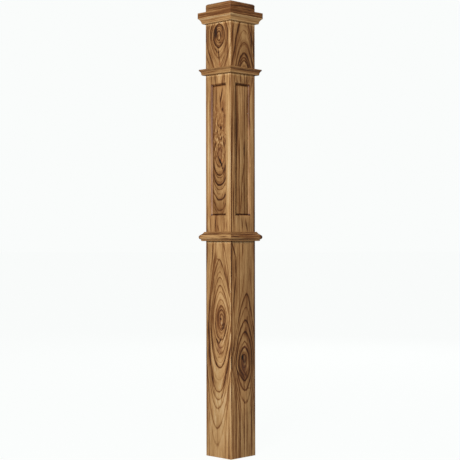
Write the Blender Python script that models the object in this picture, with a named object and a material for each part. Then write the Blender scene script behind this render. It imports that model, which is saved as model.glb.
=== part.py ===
"""Box newel post: four mitred side boards round a hollow, each with a recessed panel in its
upper half, three mitred mouldings round the shaft, and a solid cap block. Metres, +Z up,
origin at the middle of the underside, front face towards -Y."""

import math

import bmesh
import bpy
from mathutils import Matrix

# The shaft: four boards, each as wide as a face, mitred along their long edges
SHAFT = 0.1175  # width of a face, 4 5/8 in
BOARD = 0.01905  # thickness of a side board, 3/4 in

# Heights of the parts as they show, from the floor up
BASE_HEIGHT = 0.7239  # plain lower shaft, 28 1/2 in
BASE_MOULDING_HEIGHT = 0.03175
PANEL_SECTION_HEIGHT = 0.52705  # between the two mouldings, 20 3/4 in
NECK_MOULDING_HEIGHT = 0.02064
NECK_HEIGHT = 0.1524  # plain neck where the handrail lands, 6 in
CAP_MOULDING_HEIGHT = 0.0381
BLOCK_SHOWING = 0.03016  # the cap block above its moulding

# The panel window in each board
STILE = 0.0224  # board left on each side of the window
BOTTOM_RAIL_SHOWING = 0.0522
TOP_RAIL_SHOWING = 0.0305
WINDOW_BEVEL = 0.0055  # 45 degree bevel round the window, width and depth
RABBET_FLOOR = 0.0102  # from the board's face to the shoulder that the panel's tongue meets
RABBET = 0.007  # how far the rabbet reaches behind the window's edge

# The panel: a field that shows in the window, and a thinner tongue round it in the rabbet
FIELD_SETBACK = 0.0067  # from the board's face to the field's face
FIELD_GROOVE = 0.0016  # open groove between the field and the window's edge
FIELD_CHAMFER = 0.0006
TONGUE_THICKNESS = 0.0048

# The cap block
BLOCK_LAP = 0.00794  # how far the block reaches down inside the cap moulding
BLOCK_ROUNDOVER = 0.0072
ROUNDOVER_SEGMENTS = 6

# The crown mouldings: a foot with a bead on it, a cove, and a fascia that hangs over the cove
CAP_MOULDING_OUT = 0.01905  # from the shaft's face to the fascia
CAP_FASCIA = 0.02
CAP_FASCIA_RETURN = 0.0016
CAP_BEAD_OUT = 0.0099
CAP_BEAD_RADIUS = 0.0044
CAP_COVE_BOW = 0.0009  # how deep the cove is hollowed
NECK_MOULDING_OUT = 0.0165
NECK_FASCIA = 0.0048
NECK_FASCIA_RETURN = 0.001
NECK_BEAD_OUT = 0.0107
NECK_BEAD_RADIUS = 0.0041
NECK_COVE_BOW = 0.0011
BEAD_FILLET = 0.0008  # the flat between a bead and the cove over it

# The base moulding: a foot bead, a round nose, a slope to a groove, a top bead and a fillet
BASE_MOULDING_OUT = 0.0175
FOOT_BEAD_OUT = 0.0118
FOOT_BEAD_RADIUS = 0.0029
NOSE_RADIUS = 0.0093
NOSE_CENTRE_UP = 0.0131
NOSE_FOOT_ANGLE = -44
NOSE_TOP_ANGLE = 56
GROOVE_UP = 0.0238
GROOVE_OUT = 0.0096
GROOVE_DEPTH = 0.0011
TOP_BEAD_BOW = 0.0006
TOP_FILLET_OUT = 0.005
TOP_FILLET_HEIGHT = 0.0026

HOUSING_DEPTH = 0.0008  # the mouldings are let this far into the boards' faces
GLUE_GAP = 0.0003  # between pieces that are glued or seated
ARC_STEPS = 6  # straight runs in each curve of a moulding
CUTTER_REACH = 0.002  # how far a cutter runs past the face that it cuts
SMOOTH_ANGLE = math.radians(30)  # edges sharper than this stay sharp

HALF_SHAFT = SHAFT / 2
BASE_MOULDING_BOTTOM = BASE_HEIGHT
PANEL_SECTION_BOTTOM = BASE_MOULDING_BOTTOM + BASE_MOULDING_HEIGHT
NECK_MOULDING_BOTTOM = PANEL_SECTION_BOTTOM + PANEL_SECTION_HEIGHT
NECK_BOTTOM = NECK_MOULDING_BOTTOM + NECK_MOULDING_HEIGHT
CAP_MOULDING_BOTTOM = NECK_BOTTOM + NECK_HEIGHT
CAP_MOULDING_TOP = CAP_MOULDING_BOTTOM + CAP_MOULDING_HEIGHT
BLOCK_TOP = CAP_MOULDING_TOP + BLOCK_SHOWING
BLOCK_BOTTOM = CAP_MOULDING_TOP - BLOCK_LAP
BOARD_TOP = BLOCK_BOTTOM - GLUE_GAP

WINDOW_BOTTOM = PANEL_SECTION_BOTTOM + BOTTOM_RAIL_SHOWING
WINDOW_TOP = NECK_MOULDING_BOTTOM - TOP_RAIL_SHOWING
WINDOW_MIDDLE = (WINDOW_BOTTOM + WINDOW_TOP) / 2
WINDOW_WIDTH = SHAFT - 2 * STILE
WINDOW_HEIGHT = WINDOW_TOP - WINDOW_BOTTOM
THROAT_WIDTH = WINDOW_WIDTH - 2 * WINDOW_BEVEL
THROAT_HEIGHT = WINDOW_HEIGHT - 2 * WINDOW_BEVEL
RABBET_WIDTH = THROAT_WIDTH + 2 * RABBET
RABBET_HEIGHT = THROAT_HEIGHT + 2 * RABBET

# Two mitred ends that meet leave the glue gap between them, square to the joint
MITRE_PULL_BACK = GLUE_GAP / math.sqrt(2)

# A moulding clears its housing by the glue gap at its back, its foot and its head
MOULDING_BACK = GLUE_GAP - HOUSING_DEPTH
BASE_MOULDING_TALL = BASE_MOULDING_HEIGHT - 2 * GLUE_GAP
NECK_MOULDING_TALL = NECK_MOULDING_HEIGHT - 2 * GLUE_GAP
CAP_MOULDING_TALL = CAP_MOULDING_HEIGHT - GLUE_GAP

FACINGS = ("front", "right", "back", "left")


def clear_scene():
    for thing in list(bpy.data.objects):
        bpy.data.objects.remove(thing, do_unlink=True)


def new_collection(name):
    collection = bpy.data.collections.new(name)
    bpy.context.scene.collection.children.link(collection)
    return collection


def wood(name, colour, roughness):
    """Clear-finished hardwood of one board's colour."""
    material = bpy.data.materials.new(name)
    material.use_nodes = True
    shader = material.node_tree.nodes["Principled BSDF"]
    shader.inputs["Base Color"].default_value = (*colour, 1.0)
    shader.inputs["Roughness"].default_value = roughness
    shader.inputs["Metallic"].default_value = 0.0
    material.diffuse_color = (*colour, 1.0)
    return material


def box_mesh(name, low, high):
    """A box between two corners, as a mesh."""
    shape = bmesh.new()
    bmesh.ops.create_cube(shape, size=1.0)
    for vertex in shape.verts:
        for axis in range(3):
            middle = (low[axis] + high[axis]) / 2
            vertex.co[axis] = middle + vertex.co[axis] * (high[axis] - low[axis])
    mesh = bpy.data.meshes.new(name)
    shape.to_mesh(mesh)
    shape.free()
    return mesh


def evaluated_mesh(thing, name):
    """The object's mesh after its modifiers, with its place in the mesh."""
    bpy.context.view_layer.update()
    graph = bpy.context.evaluated_depsgraph_get()
    mesh = bpy.data.meshes.new_from_object(thing.evaluated_get(graph))
    mesh.transform(thing.matrix_world)
    mesh.name = name
    return mesh


def arc(centre, radius, start, end, steps=ARC_STEPS):
    """Points on an arc from start to end, in degrees, both ends included."""
    points = []
    for step in range(steps + 1):
        angle = math.radians(start + (end - start) * step / steps)
        out = centre[0] + radius * math.cos(angle)
        up = centre[1] + radius * math.sin(angle)
        points.append((out, up))
    return points


def bowed(start, end, bow):
    """Points on a shallow curve from start to end, bowed to the left of the way there."""
    across = end[0] - start[0]
    up = end[1] - start[1]
    chord = math.hypot(across, up)
    points = []
    for step in range(ARC_STEPS + 1):
        along = step / ARC_STEPS
        aside = bow * 4 * along * (1 - along)
        out = start[0] + across * along - up / chord * aside
        height = start[1] + up * along + across / chord * aside
        points.append((out, height))
    return points


def crown_front(height, out, fascia, fascia_return, bead_out, bead_radius, cove_bow):
    """Front of a crown's section, from its foot up: a bead, a cove, and a fascia."""
    bead = arc((bead_out - bead_radius, bead_radius), bead_radius, -90, 0)
    cove_foot = (bead_out, bead_radius + BEAD_FILLET)
    cove_head = (out - fascia_return, height - fascia)
    cove = bowed(cove_foot, cove_head, cove_bow)
    return bead + cove + [(out, height - fascia), (out, height)]


def cap_moulding_profile():
    """The cap moulding's section; its back steps forward where it passes the cap block."""
    front = crown_front(
        CAP_MOULDING_TALL,
        CAP_MOULDING_OUT,
        CAP_FASCIA,
        CAP_FASCIA_RETURN,
        CAP_BEAD_OUT,
        CAP_BEAD_RADIUS,
        CAP_COVE_BOW,
    )
    step_up = CAP_MOULDING_TALL - BLOCK_LAP - GLUE_GAP
    back = [(GLUE_GAP, CAP_MOULDING_TALL), (GLUE_GAP, step_up), (MOULDING_BACK, step_up)]
    return [(MOULDING_BACK, 0.0)] + front + back


def neck_moulding_profile():
    front = crown_front(
        NECK_MOULDING_TALL,
        NECK_MOULDING_OUT,
        NECK_FASCIA,
        NECK_FASCIA_RETURN,
        NECK_BEAD_OUT,
        NECK_BEAD_RADIUS,
        NECK_COVE_BOW,
    )
    return [(MOULDING_BACK, 0.0)] + front + [(MOULDING_BACK, NECK_MOULDING_TALL)]


def base_moulding_profile():
    """Section of the base moulding, from its foot up."""
    foot_bead_centre = (FOOT_BEAD_OUT - FOOT_BEAD_RADIUS, FOOT_BEAD_RADIUS)
    foot_bead = arc(foot_bead_centre, FOOT_BEAD_RADIUS, -90, 40)
    nose_centre = (BASE_MOULDING_OUT - NOSE_RADIUS, NOSE_CENTRE_UP)
    nose = arc(nose_centre, NOSE_RADIUS, NOSE_FOOT_ANGLE, NOSE_TOP_ANGLE, 2 * ARC_STEPS)
    groove = [(GROOVE_OUT, GROOVE_UP), (GROOVE_OUT - GROOVE_DEPTH, GROOVE_UP)]
    fillet_bottom = BASE_MOULDING_TALL - TOP_FILLET_HEIGHT
    top_bead = bowed(groove[-1], (TOP_FILLET_OUT, fillet_bottom), -TOP_BEAD_BOW)
    top = [(TOP_FILLET_OUT, BASE_MOULDING_TALL), (MOULDING_BACK, BASE_MOULDING_TALL)]
    return [(MOULDING_BACK, 0.0)] + foot_bead + nose + groove + top_bead[1:] + top


def outline_curve(name, points, half_thickness):
    """A flat outline with thickness: a filled 2D curve through the points."""
    data = bpy.data.curves.new(name, "CURVE")
    data.dimensions = "2D"
    data.fill_mode = "BOTH"
    data.extrude = half_thickness
    spline = data.splines.new("POLY")
    spline.points.add(len(points) - 1)
    for point, (across, up) in zip(spline.points, points):
        point.co = (across, up, 0.0, 1.0)
    spline.use_cyclic_u = True
    return bpy.data.objects.new(name, data)


def mitred_length(name, profile, housing_bottom):
    """One length of moulding on the front face, its ends mitred at the shaft's corners."""
    bottom = housing_bottom + GLUE_GAP
    curve = outline_curve(name, profile, HALF_SHAFT)
    bpy.context.scene.collection.objects.link(curve)
    # The section's own axes run out of the front face, up, and along the face
    curve.matrix_world = Matrix(
        ((0, 0, -1, 0), (-1, 0, 0, -HALF_SHAFT), (0, 1, 0, bottom), (0, 0, 0, 1))
    )
    mesh = evaluated_mesh(curve, name)
    bpy.data.objects.remove(curve, do_unlink=True)
    shape = bmesh.new()
    shape.from_mesh(mesh)
    bmesh.ops.remove_doubles(shape, verts=shape.verts, dist=0.00001)
    for vertex in shape.verts:
        half_run = -vertex.co.y - MITRE_PULL_BACK
        vertex.co.x = math.copysign(half_run, vertex.co.x)
    bmesh.ops.recalc_face_normals(shape, faces=shape.faces)
    shape.to_mesh(mesh)
    shape.free()
    return mesh


def add_cutter(cutters, mesh):
    cutter = bpy.data.objects.new(mesh.name, mesh)
    cutter.hide_render = True
    cutter.display_type = "WIRE"
    cutters.objects.link(cutter)
    return cutter


def window_cuts():
    """The three cuts that make a window: the bevel, the throat and the rabbet behind."""
    face = -HALF_SHAFT

    def cut_box(name, width, height, front, back):
        low = (-width / 2, front, WINDOW_MIDDLE - height / 2)
        high = (width / 2, back, WINDOW_MIDDLE + height / 2)
        return box_mesh(name, low, high)

    before = face - CUTTER_REACH
    bevel = cut_box("window_bevel", THROAT_WIDTH, THROAT_HEIGHT, before, face + WINDOW_BEVEL)
    flare = WINDOW_BEVEL + CUTTER_REACH
    for vertex in bevel.vertices:
        if vertex.co.y < face:
            vertex.co.x += math.copysign(flare, vertex.co.x)
            vertex.co.z += math.copysign(flare, vertex.co.z - WINDOW_MIDDLE)
    through = face + BOARD + CUTTER_REACH
    throat = cut_box("window_throat", THROAT_WIDTH, THROAT_HEIGHT, before, through)
    rabbet = cut_box("panel_rabbet", RABBET_WIDTH, RABBET_HEIGHT, face + RABBET_FLOOR, through)
    return [bevel, throat, rabbet]


def housing_cuts():
    """The shallow cuts across the board's face that the three mouldings are let into."""
    spans = (
        ("base_housing", BASE_MOULDING_BOTTOM, PANEL_SECTION_BOTTOM),
        ("neck_housing", NECK_MOULDING_BOTTOM, NECK_BOTTOM),
        ("cap_housing", CAP_MOULDING_BOTTOM, BOARD_TOP + CUTTER_REACH),
    )
    reach = HALF_SHAFT + CUTTER_REACH
    floor = HOUSING_DEPTH - HALF_SHAFT
    return [box_mesh(name, (-reach, -reach, low), (reach, floor, high)) for name, low, high in spans]


def side_board(cutters):
    """The front board: mitred edges, a window, a rabbet for the panel, and the housings."""
    low = (-HALF_SHAFT, -HALF_SHAFT, 0.0)
    high = (HALF_SHAFT, -HALF_SHAFT + BOARD, BOARD_TOP)
    mesh = box_mesh("side_board", low, high)
    for vertex in mesh.vertices:
        half_width = -vertex.co.y - MITRE_PULL_BACK
        vertex.co.x = math.copysign(half_width, vertex.co.x)
    board = bpy.data.objects.new("side_board", mesh)
    bpy.context.scene.collection.objects.link(board)
    for cut_mesh in window_cuts() + housing_cuts():
        cut = board.modifiers.new(cut_mesh.name, "BOOLEAN")
        cut.operation = "DIFFERENCE"
        cut.object = add_cutter(cutters, cut_mesh)
    cut_board = evaluated_mesh(board, "side_board")
    bpy.data.objects.remove(board, do_unlink=True)
    return cut_board


def recessed_panel():
    """The front panel: a tongue in the rabbet, and a field that comes forward in the window."""
    half_width = RABBET_WIDTH / 2 - GLUE_GAP
    half_height = RABBET_HEIGHT / 2 - GLUE_GAP
    tongue_face = -HALF_SHAFT + RABBET_FLOOR + GLUE_GAP
    field_face = -HALF_SHAFT + FIELD_SETBACK
    low = (-half_width, tongue_face, WINDOW_MIDDLE - half_height)
    high = (half_width, tongue_face + TONGUE_THICKNESS, WINDOW_MIDDLE + half_height)
    mesh = box_mesh("panel", low, high)
    shape = bmesh.new()
    shape.from_mesh(mesh)
    front = min(shape.faces, key=lambda face: face.calc_center_median().y)
    tongue = RABBET - GLUE_GAP + FIELD_GROOVE
    bmesh.ops.inset_region(shape, faces=[front], thickness=tongue, use_even_offset=True)
    bmesh.ops.inset_region(
        shape,
        faces=[front],
        thickness=FIELD_CHAMFER,
        depth=tongue_face - field_face,
        use_even_offset=True,
    )
    shape.to_mesh(mesh)
    shape.free()
    return mesh


def cap_block():
    """The solid block on top, its top edges rounded over."""
    low = (-HALF_SHAFT, -HALF_SHAFT, BLOCK_BOTTOM)
    high = (HALF_SHAFT, HALF_SHAFT, BLOCK_TOP)
    mesh = box_mesh("cap_block", low, high)
    shape = bmesh.new()
    shape.from_mesh(mesh)
    middle = (BLOCK_BOTTOM + BLOCK_TOP) / 2
    top_edges = [edge for edge in shape.edges if all(v.co.z > middle for v in edge.verts)]
    bmesh.ops.bevel(
        shape,
        geom=top_edges,
        offset=BLOCK_ROUNDOVER,
        segments=ROUNDOVER_SEGMENTS,
        profile=0.5,
        affect="EDGES",
    )
    shape.to_mesh(mesh)
    shape.free()
    return mesh


def finish(mesh, material):
    mesh.materials.clear()
    mesh.materials.append(material)
    mesh.shade_smooth()
    mesh.set_sharp_from_angle(angle=SMOOTH_ANGLE)


def place(name, mesh, collection, parent, quarter_turns=0):
    piece = bpy.data.objects.new(name, mesh)
    piece.rotation_euler.z = quarter_turns * math.pi / 2
    piece.parent = parent
    collection.objects.link(piece)


def place_round(name, mesh, material, collection, parent):
    """Four copies of a front piece, one on each face of the shaft."""
    finish(mesh, material)
    for turns, facing in enumerate(FACINGS):
        place(f"{name}_{facing}", mesh, collection, parent, turns)


def build():
    clear_scene()
    newel = new_collection("box_newel_post")
    cutters = new_collection("cutters")
    post = bpy.data.objects.new("newel_post", None)
    newel.objects.link(post)

    board_wood = wood("side_board_wood", (0.36, 0.22, 0.11), 0.45)
    panel_wood = wood("panel_wood", (0.33, 0.19, 0.09), 0.45)
    base_wood = wood("base_moulding_wood", (0.33, 0.19, 0.09), 0.42)
    neck_wood = wood("neck_moulding_wood", (0.31, 0.18, 0.085), 0.42)
    crown_wood = wood("cap_moulding_wood", (0.29, 0.165, 0.078), 0.42)
    cap_wood = wood("cap_block_wood", (0.25, 0.14, 0.065), 0.42)

    place_round("side_board", side_board(cutters), board_wood, newel, post)
    place_round("panel", recessed_panel(), panel_wood, newel, post)
    mouldings = (
        ("base_moulding", base_moulding_profile(), BASE_MOULDING_BOTTOM, base_wood),
        ("neck_moulding", neck_moulding_profile(), NECK_MOULDING_BOTTOM, neck_wood),
        ("cap_moulding", cap_moulding_profile(), CAP_MOULDING_BOTTOM, crown_wood),
    )
    for name, profile, bottom, material in mouldings:
        place_round(name, mitred_length(name, profile, bottom), material, newel, post)
    block = cap_block()
    finish(block, cap_wood)
    place("cap_block", block, newel, post)


build()
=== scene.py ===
"""A box newel post in clear-finished brown hardwood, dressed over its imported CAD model.
Metres, +Z up; the front face looks towards -Y and the right face towards +X."""

import math
from functools import partial

import bmesh
import bpy
from mathutils import Matrix, Vector


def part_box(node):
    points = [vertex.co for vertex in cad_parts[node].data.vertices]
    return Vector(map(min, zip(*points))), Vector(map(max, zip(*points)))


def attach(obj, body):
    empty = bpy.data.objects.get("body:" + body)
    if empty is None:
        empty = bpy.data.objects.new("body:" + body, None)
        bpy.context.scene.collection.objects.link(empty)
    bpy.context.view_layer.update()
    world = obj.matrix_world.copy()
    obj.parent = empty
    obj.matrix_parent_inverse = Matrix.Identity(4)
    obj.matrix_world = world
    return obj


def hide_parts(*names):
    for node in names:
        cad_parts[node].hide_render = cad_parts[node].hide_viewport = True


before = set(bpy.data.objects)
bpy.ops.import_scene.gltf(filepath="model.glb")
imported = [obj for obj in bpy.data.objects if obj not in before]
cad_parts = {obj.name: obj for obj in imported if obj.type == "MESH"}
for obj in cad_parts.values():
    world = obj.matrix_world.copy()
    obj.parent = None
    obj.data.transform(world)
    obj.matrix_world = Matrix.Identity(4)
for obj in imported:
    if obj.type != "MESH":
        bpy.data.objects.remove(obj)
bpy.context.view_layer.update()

# Camera: level, at about half the post's height and a long way off, so the sides hardly
# converge. It looks at the corner between the front and the right face.
CAMERA_DISTANCE = 4.08
CAMERA_HEIGHT = 0.735
CAMERA_AZIMUTH = math.radians(44.5)
CAMERA_ROLL = math.radians(0.088)
LENS_MM = 94.45


def placed(name, data):
    """A new object for the data, linked to the scene."""
    made = bpy.data.objects.new(name, data)
    bpy.context.scene.collection.objects.link(made)
    return made


camera_data = bpy.data.cameras.new("camera")
camera_data.sensor_width = 36.0
camera_data.lens = LENS_MM
camera_data.shift_x = -0.0012
camera_data.shift_y = 0.0171
camera = placed("camera", camera_data)
camera.location = (
    CAMERA_DISTANCE * math.sin(CAMERA_AZIMUTH),
    -CAMERA_DISTANCE * math.cos(CAMERA_AZIMUTH),
    CAMERA_HEIGHT,
)
camera.rotation_euler = (math.pi / 2, CAMERA_ROLL, CAMERA_AZIMUTH)
bpy.context.scene.camera = camera
bpy.context.scene.view_settings.view_transform = "Standard"


# Floor and light: a plain white floor that runs into a white surround, one soft box a little to
# the left of the camera, a weaker one behind the post, and weak light from all round.
KEY_ELEVATION = math.radians(18)
KEY_DIRECTION = Vector((0.53, -0.85, 0)).normalized()
KEY_DISTANCE = 4.5
KEY_SIZE = 1.5
KEY_WATTS = 220
BACK_WATTS = 90
LIT_POINT = Vector((0, 0, 0.8))
SURROUND = "FAFCFB"
SURROUND_LIGHT = 0.2
FLOOR_RADIUS = 60
FLOOR_GLOW = 0.985
FLOOR_TRACE = "333333"
FLOOR_GREY = "A0A09E"


def linear(code):
    """The linear colour of an sRGB hex code."""
    channels = []
    for start in (0, 2, 4):
        value = int(code[start : start + 2], 16) / 255
        channels.append(value / 12.92 if value <= 0.04045 else ((value + 0.055) / 1.055) ** 2.4)
    return (*channels, 1.0)


def put(tree, kind, inputs=(), output=0, **settings):
    """Adds a node with its settings, links or fills its inputs, and returns one output, if it
    has any. The inputs are given in their order, or in a dict by name or number. A kind that
    only names an operation, such as MULTIPLY, is a maths node."""
    if "Node" not in kind:
        settings["operation"] = kind
        kind = "ShaderNodeMath"
    node = tree.nodes.new(kind)
    for setting, value in settings.items():
        setattr(node, setting, value)
    for key, value in inputs.items() if isinstance(inputs, dict) else enumerate(inputs):
        if isinstance(value, bpy.types.NodeSocket):
            tree.links.new(value, node.inputs[key])
        else:
            node.inputs[key].default_value = value
    return node.outputs[output] if node.outputs else None


world = bpy.data.worlds.new("white_surround")
bpy.context.scene.world = world
world.use_nodes = True
world_tree = world.node_tree
world_tree.nodes.clear()
seen = put(world_tree, "ShaderNodeLightPath")
shown = put(world_tree, "ShaderNodeBackground", (linear(SURROUND), 1.0))
lighting = put(world_tree, "ShaderNodeBackground", (linear(SURROUND), SURROUND_LIGHT))
surround = put(world_tree, "ShaderNodeMixShader", (seen, lighting, shown))
put(world_tree, "ShaderNodeOutputWorld", {"Surface": surround})

for light_name, facing, watts in (("soft_box", 1, KEY_WATTS), ("back_box", -1, BACK_WATTS)):
    box_data = bpy.data.lights.new(light_name, "AREA")
    box_data.shape = "DISK"
    box_data.size = KEY_SIZE
    box_data.energy = watts
    box = placed(light_name, box_data)
    way = facing * KEY_DIRECTION * math.cos(KEY_ELEVATION) + Vector((0, 0, math.sin(KEY_ELEVATION)))
    box.location = LIT_POINT + way * KEY_DISTANCE
    box.rotation_euler = way.to_track_quat("Z", "Y").to_euler()


def mesh_of(shape, name):
    """A new mesh made from the bmesh, which it frees."""
    mesh = bpy.data.meshes.new(name)
    shape.to_mesh(mesh)
    shape.free()
    return mesh


floor_shape = bmesh.new()
bmesh.ops.create_circle(floor_shape, cap_ends=True, segments=96, radius=FLOOR_RADIUS)
floor = placed("floor", mesh_of(floor_shape, "floor"))
floor_paint = bpy.data.materials.new("white_sweep_paint")
floor_paint.use_nodes = True
floor_tree = floor_paint.node_tree
floor_tree.nodes.clear()
# What the floor throws back on the post is that of a pale grey; what shows is blown out to the
# surround's white, and keeps a trace of the post's shadow
floor_seen = put(floor_tree, "ShaderNodeLightPath")
floor_glow = put(floor_tree, "ShaderNodeEmission", (linear(SURROUND), FLOOR_GLOW))
floor_trace = put(floor_tree, "ShaderNodeBsdfDiffuse", (linear(FLOOR_TRACE),))
floor_shown = put(floor_tree, "ShaderNodeAddShader", (floor_glow, floor_trace))
floor_grey = put(floor_tree, "ShaderNodeBsdfDiffuse", (linear(FLOOR_GREY),))
floor_shader = put(floor_tree, "ShaderNodeMixShader", (floor_seen, floor_grey, floor_shown))
put(floor_tree, "ShaderNodeOutputMaterial", {"Surface": floor_shader})
floor.data.materials.append(floor_paint)


# Side boards: four 19 mm boards of a brown, open-grained hardwood, ripped with 45 degree
# edges and glued round a hollow. Each has a window with a bevelled edge in its upper half.
# The outside corners are eased by hand once the glue is dry.
FACINGS = ("front", "right", "back", "left")
CORNER_RADIUS = 0.0013
CORNER_STEPS = 4
JOINT_GAP = 0.00004  # a closed glue line
WINDOW_EASING = 0.0004
HALF_SHAFT = -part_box("side_board_front")[0].y
SATIN_ROUGHNESS = 0.46
LACQUER_IOR = 1.42
GRAIN_RELIEF = 0.0002
RUBBED_WIDTH = 1.8  # how far in from a corner, in millimetres, hands rub the wood paler
RUBBED_TONE = 0.16

CORE = 15.0  # half the height of a knot's round core, in millimetres
BEND = 1.8  # how round the ovals are above a knot: 1 would be a diamond, 2 an ellipse
DIVE = 0.2  # the power with which the distance from a knot grows up the board
LET_GO = 60.0  # how softly the grain straightens at the end of a knot's reach
LEAST_STEEP = 0.12  # the slowest that the distance from a knot may grow
TWO_KNOTS = 16.0  # how softly the grain of one knot flows into that of the next
SHOULDER = 0.35  # how brown the wood is on the inner side of a dark ring
WOBBLE = 4.5  # how far the short wobble moves a line, in millimetres
PLAIN_TONE = 0.29  # where plain wood lies between sapwood and a black knot
FAR_HEART = 200.0  # how far aside the grain's heart lies where there is no knot
WINDOW_LIP = -58.3  # what lies deeper than this is the window's bevel or the panel

WOOD_TONES = (
    (0.0, "CDAE82"), (0.22, "BB925F"), (0.42, "9B7245"),
    (0.6, "7C5029"), (0.78, "613916"), (1.0, "3B1C06"),
)
RED_GROWTH = "FFE8D6"
SMOOTH = {"interpolation_type": "SMOOTHSTEP"}


def mark_group():
    """A soft-edged streak: 1 on its middle line, 0 from its half width and half length on."""
    tree = bpy.data.node_groups.new("grain_mark", "ShaderNodeTree")
    for socket in ("Across", "Up", "Centre Across", "Centre Up", "Half Width", "Half Length", "Slope"):
        tree.interface.new_socket(socket, in_out="INPUT", socket_type="NodeSocketFloat")
    tree.interface.new_socket("Mask", in_out="OUTPUT", socket_type="NodeSocketFloat")
    given = tree.nodes.new("NodeGroupInput").outputs
    add = partial(put, tree)
    rise = add("SUBTRACT", (given["Up"], given["Centre Up"]))
    lean = add("MULTIPLY", (rise, given["Slope"]))
    middle = add("ADD", (given["Centre Across"], lean))
    aside = add("SUBTRACT", (given["Across"], middle))
    wide = add("DIVIDE", (aside, given["Half Width"]))
    tall = add("DIVIDE", (rise, given["Half Length"]))
    both = add("ShaderNodeCombineXYZ", (wide, tall))
    reach = add("ShaderNodeVectorMath", (both,), "Value", operation="LENGTH")
    mask = add("ShaderNodeMapRange", (reach, 1.0, 0.15), **SMOOTH)
    add("NodeGroupOutput", {"Mask": mask})
    return tree


MARK = mark_group()


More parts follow.
